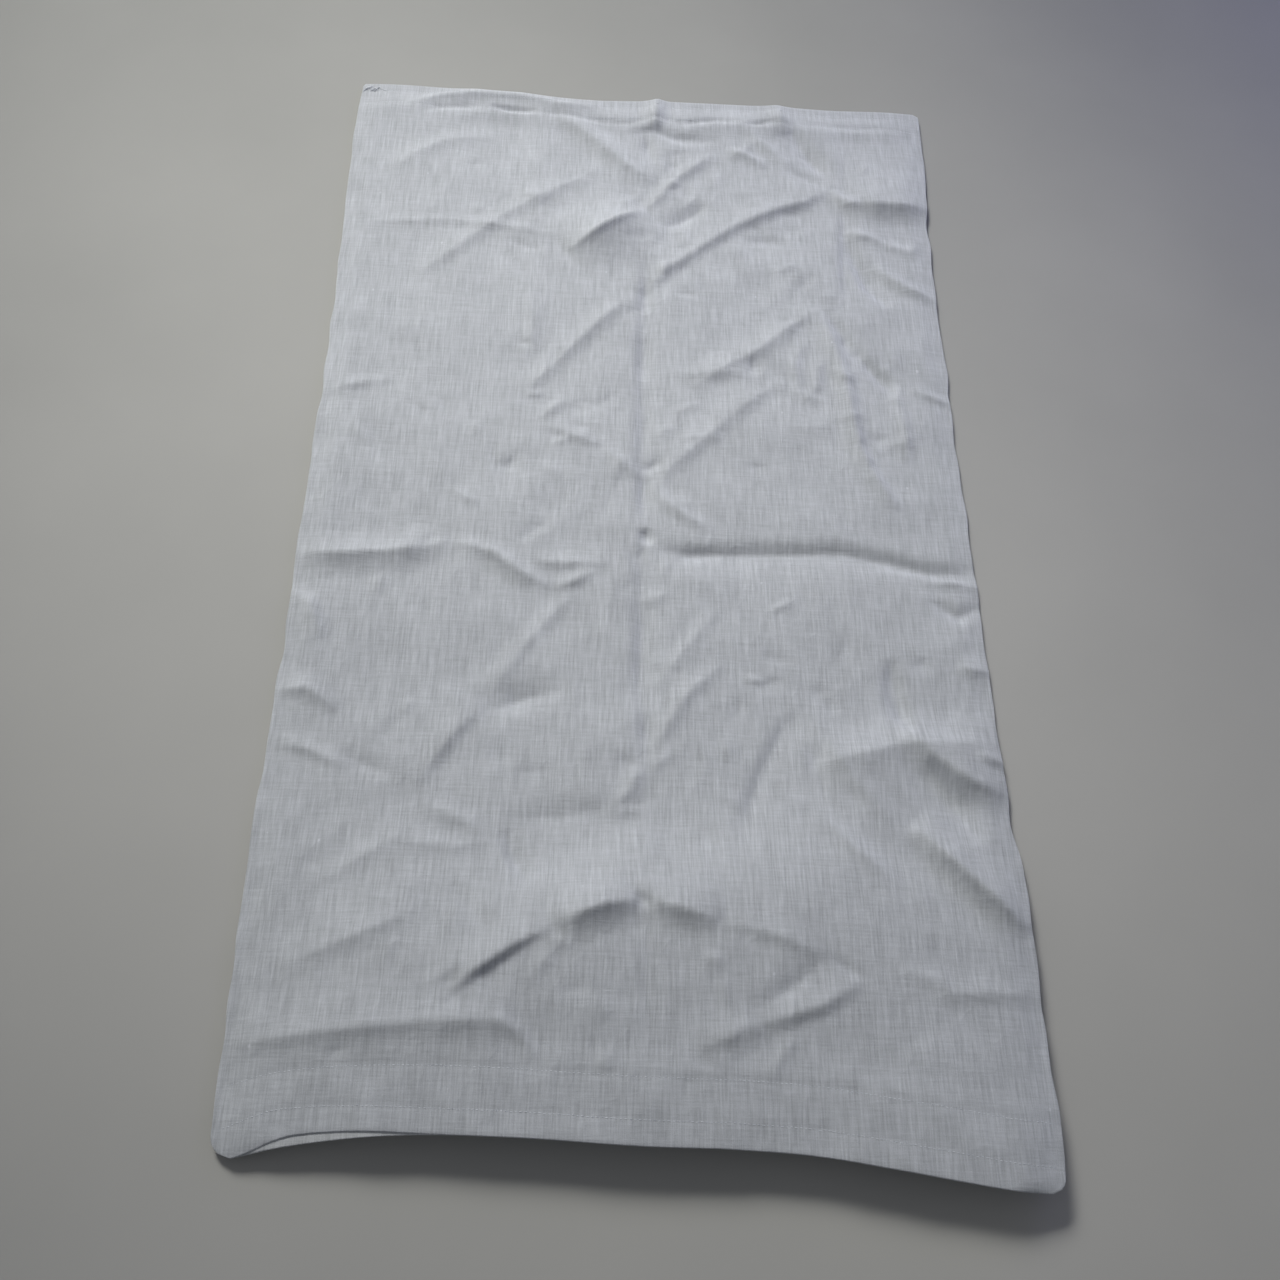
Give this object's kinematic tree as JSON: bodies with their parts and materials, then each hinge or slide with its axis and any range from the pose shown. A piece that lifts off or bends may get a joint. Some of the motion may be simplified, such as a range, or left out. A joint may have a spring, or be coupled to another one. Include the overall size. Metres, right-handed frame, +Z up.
{
  "type": "table runner",
  "caption": "Lined linen table runner, pale cool white, lying creased on a table with its near end lifted in a soft wave; turned hems and rows of stitching at both ends.",
  "frame": {"origin": "centre of the runner's outline, on the table it lies on", "axes": "+X across the runner to the right as seen from its lifted end, +Y along the runner away from the lifted end, +Z up"},
  "size_m": [0.45, 0.8, 0.0272],
  "materials": {
    "face_linen": "plain-weave linen, slubby, matt, cool white",
    "lining_linen": "plain-weave linen, matt, cool white",
    "sewing_thread": "twisted thread, satin"
  },
  "bodies": {
    "root": {"face_panel": "face_linen", "lining_panel": "lining_linen", "face_near_hem": "face_linen", "lining_near_hem": "lining_linen", "face_far_hem": "face_linen", "lining_far_hem": "lining_linen", "face_left_allowance": "face_linen", "face_right_allowance": "face_linen", "lining_left_allowance": "lining_linen", "lining_right_allowance": "lining_linen", "near_hem_needle_thread": "sewing_thread", "near_hem_bobbin_thread": "sewing_thread", "near_edge_needle_thread": "sewing_thread", "near_edge_bobbin_thread": "sewing_thread", "far_edge_needle_thread": "sewing_thread", "far_edge_bobbin_thread": "sewing_thread", "far_hem_needle_thread": "sewing_thread", "far_hem_bobbin_thread": "sewing_thread", "left_seam_thread": "sewing_thread", "right_seam_thread": "sewing_thread", "corner_darn_thread": "sewing_thread"}
  },
  "joints": []
}
